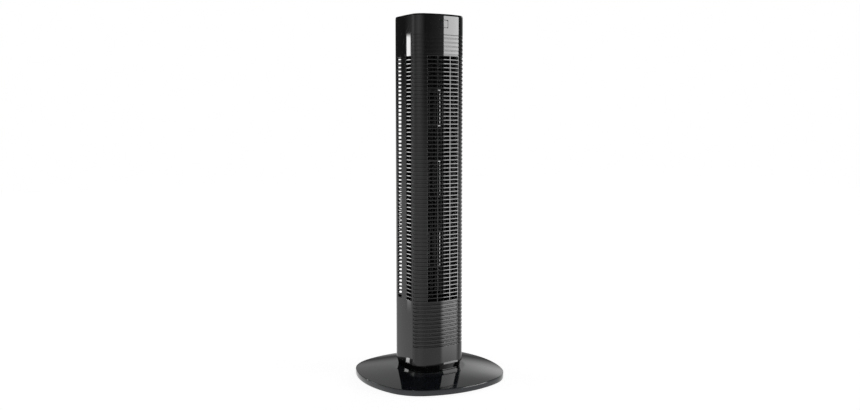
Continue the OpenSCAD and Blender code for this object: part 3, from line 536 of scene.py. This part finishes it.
def disc_rows(points):
    """Faces between rows of closed rings, given as an array of rows by columns by three."""
    m, n, _ = points.shape
    i, j = (g.ravel() for g in np.meshgrid(np.arange(m - 1), np.arange(n), indexing="ij"))
    j2 = (j + 1) % n
    return np.stack([i * n + j, i * n + j2, (i + 1) * n + j2, (i + 1) * n + j], 1)


KEY_PROUD, LID_T, LID_GAP = 0.7, 3.0, 0.3
KEY_LEDGE, KEY_ROUND, DISH_SHARE, DISH_DEPTH, FLANGE_T, STEM_R = 1.2, 0.5, 0.9, 0.35, 1.4, 2.0


def key_cap(name, node):
    """Key: a dished round top with a soft edge, its flange and its stem, turned on its axis."""
    low, high = (corner * 1000 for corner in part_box(node))
    cx, cy, top = (low.x + high.x) / 2, (low.y + high.y) / 2, high.z
    flange = (high.x - low.x) / 2
    r = flange - KEY_LEDGE
    turn = np.linspace(0, math.pi / 2, 5)
    edge = np.stack([r - KEY_ROUND + KEY_ROUND * np.cos(turn),
                     top - KEY_ROUND + KEY_ROUND * np.sin(turn)], 1)
    dish = np.linspace(DISH_SHARE, 0, 8)
    bowl = np.stack([dish * (r - KEY_ROUND), top - DISH_DEPTH * (1 - (dish / DISH_SHARE) ** 2)], 1)
    skirt = top - KEY_PROUD - LID_T - LID_GAP
    under = skirt - FLANGE_T
    body = [(0, low.z), (STEM_R, low.z), (STEM_R, under), (flange, under), (flange, skirt),
            (r, skirt), (r, top - 0.8)]
    profile = np.concatenate([np.array(body, float), edge, bowl])
    angles = np.linspace(0, 2 * math.pi, 48, endpoint=False)
    points = np.stack([cx + profile[:, :1] * np.cos(angles), cy + profile[:, :1] * np.sin(angles),
                       np.broadcast_to(profile[:, 1:2], (len(profile), len(angles)))], -1)
    return merged(make_mesh(name, points.reshape(-1, 3), disc_rows(points)))


def window_pane():
    """Display window: a superellipse of power six, flush with the bow, with a soft edge."""
    half_w, half_h = WINDOW_HIGH.x, (WINDOW_HIGH.z - WINDOW_LOW.z) / 2
    zc = (WINDOW_HIGH.z + WINDOW_LOW.z) / 2
    shares = [0, 0.4, 0.7, 0.85, 0.95, 0.97, 0.99, 1.0, 1.0, 0.0]
    lift = [0.0, 0.0, 0.0, 0.0, 0.0, -0.02, -0.1, -0.3, -2.0, -2.0]
    angles = np.linspace(0, 2 * math.pi, 96, endpoint=False)
    c, s = np.cos(angles), np.sin(angles)
    root = 2 / 6
    x = np.array(shares)[:, None] * half_w * np.sign(c) * np.abs(c) ** root
    z = zc + np.array(shares)[:, None] * half_h * np.sign(s) * np.abs(s) ** root
    y = BOW_CY - np.sqrt(FRONT_R ** 2 - x ** 2) - np.array(lift)[:, None]
    points = np.stack([x, y, z], -1)[::-1]
    return merged(make_mesh("window_pane", points.reshape(-1, 3), disc_rows(points)))


# ---------------------------------------------------------------- pieces
KEYS = ["power", "speed", "mode", "timer", "swing"]
PIECES = [
    (front_panel(), "column", "front_grille", "gloss_black"),
    (rear_housing(), "column", "rear_shell", "gloss_black"),
    (neck_band(), "column", "neck_skirt", "gloss_black"),
    (window_pane(), "column", "display_window", "window_smoke"),
    (base_dome(), "base", "base_cover", "base_gloss"),
]
PIECES += [(key_cap(k + "_cap", k + "_key"), k + "_button", k + "_key", "key_grey") for k in KEYS]
for piece, body, node, slot in PIECES:
    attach(piece, body)
    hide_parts(node)


# ---------------------------------------------------------------- materials

def link(tree, out, into):
    tree.links.new(out, into)


def node_of(tree, kind, **values):
    """Adds a node and sets its properties and input values by name."""
    node = tree.nodes.new(kind)
    for key, value in values.items():
        if key in node.inputs:
            node.inputs[key].default_value = value
        else:
            setattr(node, key, value)
    return node


def math_of(tree, operation, a, b=None, clamp=False):
    """Math node whose inputs are numbers or other nodes' outputs."""
    node = tree.nodes.new("ShaderNodeMath")
    node.operation = operation
    node.use_clamp = clamp
    for socket, value in zip(node.inputs, (a, b)):
        if value is None:
            continue
        if isinstance(value, (int, float)):
            socket.default_value = value
        else:
            tree.links.new(value, socket)
    return node.outputs[0]


def new_group(name, inputs, outputs):
    """Empty shader group with float inputs and the named outputs."""
    group = bpy.data.node_groups.new(name, "ShaderNodeTree")
    for label, value in inputs:
        socket = group.interface.new_socket(label, in_out="INPUT", socket_type="NodeSocketFloat")
        socket.default_value = value
    for label in outputs:
        group.interface.new_socket(label, in_out="OUTPUT", socket_type="NodeSocketFloat")
    return group, group.nodes.new("NodeGroupInput"), group.nodes.new("NodeGroupOutput")


def grain_group():
    """Fine moulded grain: two scales of noise added as a height, and a slow patchy mask."""
    group, given, result = new_group("moulded_grain", [("Scale", 900.0), ("Waviness", 0.3)],
                                     ["Height", "Patches"])
    place = group.nodes.new("ShaderNodeTexCoord").outputs["Object"]
    fine = node_of(group, "ShaderNodeTexNoise", Detail=3.0, Roughness=0.6)
    wave = node_of(group, "ShaderNodeTexNoise", Scale=42.0, Detail=2.0, Roughness=0.4)
    patch = node_of(group, "ShaderNodeTexNoise", Scale=9.0, Detail=4.0, Roughness=0.55)
    for texture in (fine, wave, patch):
        link(group, place, texture.inputs["Vector"])
    link(group, given.outputs["Scale"], fine.inputs["Scale"])
    waved = math_of(group, "MULTIPLY", wave.outputs["Fac"], given.outputs["Waviness"])
    link(group, math_of(group, "ADD", fine.outputs["Fac"], waved), result.inputs["Height"])
    link(group, patch.outputs["Fac"], result.inputs["Patches"])
    return group


def dust_group():
    """Dust: more on faces that look up, broken by two scales of noise."""
    group, given, result = new_group("settled_dust", [("Amount", 0.3)], ["Mask"])
    place = group.nodes.new("ShaderNodeTexCoord").outputs["Object"]
    split = group.nodes.new("ShaderNodeSeparateXYZ")
    link(group, group.nodes.new("ShaderNodeNewGeometry").outputs["Normal"], split.inputs[0])
    up = math_of(group, "MAXIMUM", split.outputs["Z"], 0.0)
    coarse = node_of(group, "ShaderNodeTexNoise", Scale=14.0, Detail=5.0, Roughness=0.7)
    specks = node_of(group, "ShaderNodeTexNoise", Scale=700.0, Detail=1.0)
    for texture in (coarse, specks):
        link(group, place, texture.inputs["Vector"])
    broken = math_of(group, "MULTIPLY", coarse.outputs["Fac"], specks.outputs["Fac"])
    lifted = math_of(group, "MULTIPLY", up, broken)
    link(group, math_of(group, "MULTIPLY", lifted, given.outputs["Amount"], clamp=True),
         result.inputs["Mask"])
    return group


def wear_group():
    """Edge wear: where the surface bends sharply, broken by fine noise."""
    group, given, result = new_group("edge_wear", [("Amount", 0.3)], ["Mask"])
    place = group.nodes.new("ShaderNodeTexCoord").outputs["Object"]
    geometry = group.nodes.new("ShaderNodeNewGeometry")
    noise = node_of(group, "ShaderNodeTexNoise", Scale=160.0, Detail=4.0)
    link(group, place, noise.inputs["Vector"])
    bend = math_of(group, "SUBTRACT", geometry.outputs["Pointiness"], 0.53)
    sharp = math_of(group, "MULTIPLY", bend, 12.0, clamp=True)
    broken = math_of(group, "MULTIPLY", sharp, noise.outputs["Fac"])
    link(group, math_of(group, "MULTIPLY", broken, given.outputs["Amount"], clamp=True),
         result.inputs["Mask"])
    return group


GRAIN, DUST, WEAR = grain_group(), dust_group(), wear_group()


def pattern_of(tree, kind, scale, squeeze):
    """Second colour's mask: brushed streaks, spangle, windings, or a board's parts."""
    place = tree.nodes.new("ShaderNodeTexCoord").outputs["Object"]
    stretch = node_of(tree, "ShaderNodeMapping")
    stretch.inputs["Scale"].default_value = squeeze
    link(tree, place, stretch.inputs["Vector"])
    if kind == "cells":
        texture = node_of(tree, "ShaderNodeTexVoronoi", Scale=scale)
        out = texture.outputs["Distance"]
    elif kind == "turns":
        texture = node_of(tree, "ShaderNodeTexWave", Scale=scale, Distortion=0.4)
        texture.bands_direction = "Z"
        out = texture.outputs["Fac"]
    else:
        texture = node_of(tree, "ShaderNodeTexNoise", Scale=scale, Detail=4.0)
        out = texture.outputs["Fac"]
    link(tree, stretch.outputs["Vector"], texture.inputs["Vector"])
    return out


def finish_of(name, colour, second, rough, grain, bump, dust=0.3, wear=0.1, metal=0.0, coat=0.0,
              kind="noise", scale=30.0, squeeze=(1, 1, 1), waviness=0.3):
    """Material: two colours by a pattern, dust and wear over them, patchy roughness, grain."""
    material = bpy.data.materials.new(name)
    material.use_nodes = True
    tree = material.node_tree
    shader = tree.nodes["Principled BSDF"]
    shader.inputs["Metallic"].default_value = metal
    shader.inputs["Coat Weight"].default_value = coat
    shader.inputs["Coat Roughness"].default_value = 0.03
    shader.inputs["IOR"].default_value = 1.5
    texture = node_of(tree, "ShaderNodeGroup", node_tree=GRAIN)
    texture.inputs["Scale"].default_value = grain
    texture.inputs["Waviness"].default_value = waviness
    dusty = node_of(tree, "ShaderNodeGroup", node_tree=DUST)
    dusty.inputs["Amount"].default_value = dust
    worn = node_of(tree, "ShaderNodeGroup", node_tree=WEAR)
    worn.inputs["Amount"].default_value = wear
    mask = pattern_of(tree, kind, scale, squeeze)
    colours = (((*colour, 1), (*second, 1), mask),
               (None, (0.32, 0.31, 0.29, 1), dusty.outputs["Mask"]),
               (None, tuple(min(1, c * 2.5 + 0.05) for c in colour) + (1,),
                worn.outputs["Mask"]))
    last = None
    for first, other, share in colours:
        mix = node_of(tree, "ShaderNodeMix", data_type="RGBA")
        if last is None:
            mix.inputs[6].default_value = first
        else:
            link(tree, last, mix.inputs[6])
        mix.inputs[7].default_value = other
        link(tree, share, mix.inputs[0])
        last = mix.outputs[2]
    link(tree, last, shader.inputs["Base Color"])
    spread_of = node_of(tree, "ShaderNodeMapRange")
    spread_of.inputs["From Min"].default_value = 0.3
    spread_of.inputs["From Max"].default_value = 0.7
    spread_of.inputs["To Min"].default_value = rough[0]
    spread_of.inputs["To Max"].default_value = rough[1]
    link(tree, texture.outputs["Patches"], spread_of.inputs["Value"])
    rougher = math_of(tree, "ADD", spread_of.outputs["Result"], dusty.outputs["Mask"], clamp=True)
    link(tree, rougher, shader.inputs["Roughness"])
    relief = node_of(tree, "ShaderNodeBump", Strength=1.0, Distance=bump)
    link(tree, texture.outputs["Height"], relief.inputs["Height"])
    link(tree, relief.outputs["Normal"], shader.inputs["Normal"])
    return material


FINISHES = {
    "gloss_black": dict(colour=(0.0032, 0.0032, 0.0036), second=(0.0045, 0.0045, 0.005),
                        rough=(0.02, 0.05), grain=1200.0, bump=0.0000012, dust=0.04, wear=0.06,
                        waviness=1.0),
    "base_gloss": dict(colour=(0.006, 0.0072, 0.0105), second=(0.009, 0.0102, 0.0135),
                       rough=(0.03, 0.07), grain=1100.0, bump=0.0000015, dust=0.04, wear=0.03,
                       waviness=1.0),
    "satin_black": dict(colour=(0.018, 0.018, 0.019), second=(0.028, 0.028, 0.03),
                        rough=(0.38, 0.52), grain=1500.0, bump=0.00004, dust=0.3),
    "wheel_black": dict(colour=(0.006, 0.006, 0.0065), second=(0.01, 0.01, 0.011),
                        rough=(0.08, 0.14), grain=1400.0, bump=0.000004, dust=0.15, wear=0.2),
    "window_smoke": dict(colour=(0.003, 0.003, 0.004), second=(0.005, 0.005, 0.007),
                         rough=(0.03, 0.06), grain=900.0, bump=0.000001, dust=0.05, wear=0.05),
    "key_grey": dict(colour=(0.05, 0.05, 0.054), second=(0.07, 0.07, 0.075),
                     rough=(0.3, 0.44), grain=1600.0, bump=0.00003, dust=0.15, wear=0.3),
    "rubber_black": dict(colour=(0.014, 0.014, 0.014), second=(0.024, 0.024, 0.023),
                         rough=(0.62, 0.82), grain=1300.0, bump=0.00008, dust=0.5, wear=0.2),
    "acetal_white": dict(colour=(0.76, 0.76, 0.72), second=(0.82, 0.81, 0.77),
                         rough=(0.3, 0.42), grain=700.0, bump=0.00002, dust=0.2, wear=0.1),
    "steel": dict(colour=(0.56, 0.57, 0.59), second=(0.66, 0.67, 0.69), rough=(0.2, 0.34),
                  grain=900.0, bump=0.00002, metal=1.0, scale=260.0, squeeze=(1, 1, 0.06)),
    "zinc_plate": dict(colour=(0.46, 0.48, 0.51), second=(0.62, 0.63, 0.66), rough=(0.3, 0.46),
                       grain=600.0, bump=0.00002, metal=1.0, kind="cells", scale=160.0),
    "winding": dict(colour=(0.42, 0.15, 0.05), second=(0.62, 0.28, 0.1), rough=(0.22, 0.36),
                    grain=500.0, bump=0.00006, metal=0.9, kind="turns", scale=420.0),
    "bronze": dict(colour=(0.42, 0.26, 0.11), second=(0.56, 0.36, 0.17), rough=(0.35, 0.5),
                   grain=1900.0, bump=0.00005, metal=1.0, kind="cells", scale=900.0),
    "board_green": dict(colour=(0.02, 0.11, 0.045), second=(0.05, 0.2, 0.08),
                        rough=(0.25, 0.4), grain=800.0, bump=0.00003, kind="cells",
                        scale=330.0, squeeze=(1, 1.6, 1)),
    "part_dark": dict(colour=(0.03, 0.03, 0.034), second=(0.05, 0.05, 0.055),
                      rough=(0.35, 0.5), grain=1500.0, bump=0.00003, dust=0.3),
}
MATERIALS = {slot: finish_of(slot, **values) for slot, values in FINISHES.items()}


def paint(piece, slot):
    """Gives a piece one material."""
    piece.data.materials.clear()
    piece.data.materials.append(MATERIALS[slot])


for row in frame["record"]["subparts"]:
    paint(frame["nodes"][row["node"]], row["material_slot"])
for piece, body, node, slot in PIECES:
    paint(piece, slot)


# ---------------------------------------------------------------- floor, light and surroundings

def floor_sheet():
    """Pale floor: a flat square, seen as white and left out of reflections."""
    half = 6.0
    mesh = bpy.data.meshes.new("floor")
    mesh.from_pydata([(-half, -half, 0), (half, -half, 0), (half, half, 0), (-half, half, 0)],
                     [], [(0, 1, 2, 3)])
    piece = bpy.data.objects.new("floor", mesh)
    piece.visible_glossy = False
    scene.collection.objects.link(piece)
    material = bpy.data.materials.new("pale_floor")
    material.use_nodes = True
    tree = material.node_tree
    tree.nodes.clear()
    diffuse = node_of(tree, "ShaderNodeBsdfDiffuse", Color=(0.5, 0.5, 0.5, 1))
    glow = node_of(tree, "ShaderNodeEmission", Color=(1, 1, 1, 1), Strength=0.85)
    both = tree.nodes.new("ShaderNodeAddShader")
    link(tree, diffuse.outputs[0], both.inputs[0])
    link(tree, glow.outputs[0], both.inputs[1])
    out = tree.nodes.new("ShaderNodeOutputMaterial")
    link(tree, both.outputs[0], out.inputs["Surface"])
    mesh.materials.append(material)


def stops_to_ramp(tree, stops, value):
    """Colour ramp over a share of the circle, from stops of turn and brightness."""
    ramp = tree.nodes.new("ShaderNodeValToRGB")
    band = ramp.color_ramp
    while len(band.elements) > 1:
        band.elements.remove(band.elements[0])
    band.elements[0].position = (stops[0][0] + 180) / 360
    for at, bright in stops[1:]:
        band.elements.new((at + 180) / 360)
    for element, (at, bright) in zip(band.elements, stops):
        element.color = (bright, bright, bright, 1)
    link(tree, value, ramp.inputs["Fac"])
    return ramp.outputs["Color"]


def step_between(tree, value, low, high):
    """Smooth step of a value from zero at low to one at high."""
    node = node_of(tree, "ShaderNodeMapRange", interpolation_type="SMOOTHSTEP")
    node.inputs["From Min"].default_value = low
    node.inputs["From Max"].default_value = high
    link(tree, value, node.inputs["Value"])
    return node.outputs["Result"]


def panel_light(tree, turn, lift, turns, lifts, soft, ends_soft):
    """Softbox as a patch of sky between two turns and two lifts, in degrees, with soft edges."""
    sides = math_of(tree, "MULTIPLY", step_between(tree, turn, turns[0], turns[0] + soft),
                    step_between(tree, turn, turns[1], turns[1] - soft))
    ends = math_of(tree, "MULTIPLY",
                   step_between(tree, lift, lifts[0], lifts[0] + ends_soft[0]),
                   step_between(tree, lift, lifts[1], lifts[1] - ends_soft[1]))
    return math_of(tree, "MULTIPLY", sides, ends)


ROOM = [(-180, 0.05), (-150, 0.05), (-144, 0.3), (-127, 1.0), (-116, 0.85), (-98, 0.48),
        (-80, 0.75), (-64, 0.95), (-43, 0.66), (-26, 0.33), (-8, 0.09), (4, 0.10), (18, 0.22),
        (30, 0.38), (62, 0.09), (90, 0.15), (180, 0.05)]
# Lifts where each share starts and is full, in degrees, and its value
FLOOR, NEAR_FLOOR = (5.0, -7.0, 0.75), (-10.0, -24.0, 0.2)
OVERHEAD, WALLS, HIGH_WALLS = (55.0, 75.0, 0.8), (25.0, 10.0, 0.85), 0.15
SECOND_FACE = 2.5  # ray depth between light's first and second face
SOFTBOXES = [  # turns, lifts, strength, edge of the sides, edges of the lower and upper ends
    ((30.6, 61.5), (-11.6, 14.0), 10.0, 0.5, (0.4, 3.0)),
    ((24.0, 63.0), (-17.5, -11.2), 3.9, 7.0, (6.3, 0.4)),
    ((-148.8, -145.2), (-12.5, 5.6), 10.0, 0.3, (4.5, 0.3)),
    ((-143.0, -127.0), (-11.0, 30.0), 2.6, 4.0, (4.0, 6.0)),
    ((95.0, 178.0), (3.0, 46.0), 0.45, 6.0, (12.0, 12.0)),
    ((85.0, 149.0), (4.0, 30.0), 0.95, 12.0, (12.0, 12.0)),
]
HIGH_PANELS = [  # only for light that meets a second face, so no top face turns white
    ((30.6, 61.5), (11.0, 38.0), 10.0, 0.5, (3.0, 5.0)),
    ((-149.2, -145.2), (38.6, 41.0), 18.0, 0.3, (0.4, 0.4)),
]


def surroundings():
    """Studio: dark walls with softboxes by direction, a pale floor below, white to the eye.

    Turn is the direction round the object, from -Y towards +X. Lift is the height above level.
    """
    world = bpy.data.worlds.new("studio")
    scene.world = world
    world.use_nodes = True
    tree = world.node_tree
    tree.nodes.clear()
    split = tree.nodes.new("ShaderNodeSeparateXYZ")
    link(tree, tree.nodes.new("ShaderNodeTexCoord").outputs["Generated"], split.inputs[0])
    x, y, z = split.outputs
    back = math_of(tree, "MULTIPLY", y, -1.0)
    turn = math_of(tree, "MULTIPLY", math_of(tree, "ARCTAN2", x, back), 180 / math.pi)
    lift = math_of(tree, "MULTIPLY", math_of(tree, "ARCSINE", z), 180 / math.pi)
    share = math_of(tree, "ADD", math_of(tree, "DIVIDE", turn, 360.0), 0.5)
    room = stops_to_ramp(tree, ROOM, share)
    floor_share, near_floor, overhead, walls = (
        math_of(tree, "MULTIPLY", step_between(tree, lift, start, full), share)
        for start, full, share in (FLOOR, NEAR_FLOOR, OVERHEAD, WALLS))
    room = math_of(tree, "MULTIPLY", room, math_of(tree, "ADD", walls, HIGH_WALLS))
    total = math_of(tree, "MULTIPLY", room, math_of(tree, "SUBTRACT", 1.0, floor_share))
    total = math_of(tree, "ADD", total, math_of(tree, "ADD", floor_share, near_floor))
    total = math_of(tree, "ADD", total, overhead)
    rays = tree.nodes.new("ShaderNodeLightPath")
    twice = math_of(tree, "GREATER_THAN", rays.outputs["Ray Depth"], SECOND_FACE)
    for panels, gate in ((SOFTBOXES, 1.0), (HIGH_PANELS, twice)):
        for turns, lifts, strength, soft, ends_soft in panels:
            patch = panel_light(tree, turn, lift, turns, lifts, soft, ends_soft)
            patch = math_of(tree, "MULTIPLY", patch, gate)
            total = math_of(tree, "ADD", total, math_of(tree, "MULTIPLY", patch, strength))
    seen = node_of(tree, "ShaderNodeBackground", Color=(1, 1, 1, 1), Strength=1.0)
    lit = node_of(tree, "ShaderNodeBackground", Color=(1, 1, 1, 1))
    link(tree, total, lit.inputs["Strength"])
    mix = tree.nodes.new("ShaderNodeMixShader")
    link(tree, rays.outputs["Is Camera Ray"], mix.inputs[0])
    link(tree, lit.outputs[0], mix.inputs[1])
    link(tree, seen.outputs[0], mix.inputs[2])
    link(tree, mix.outputs[0], tree.nodes.new("ShaderNodeOutputWorld").inputs["Surface"])


floor_sheet()
surroundings()
scene.view_settings.view_transform = "Standard"
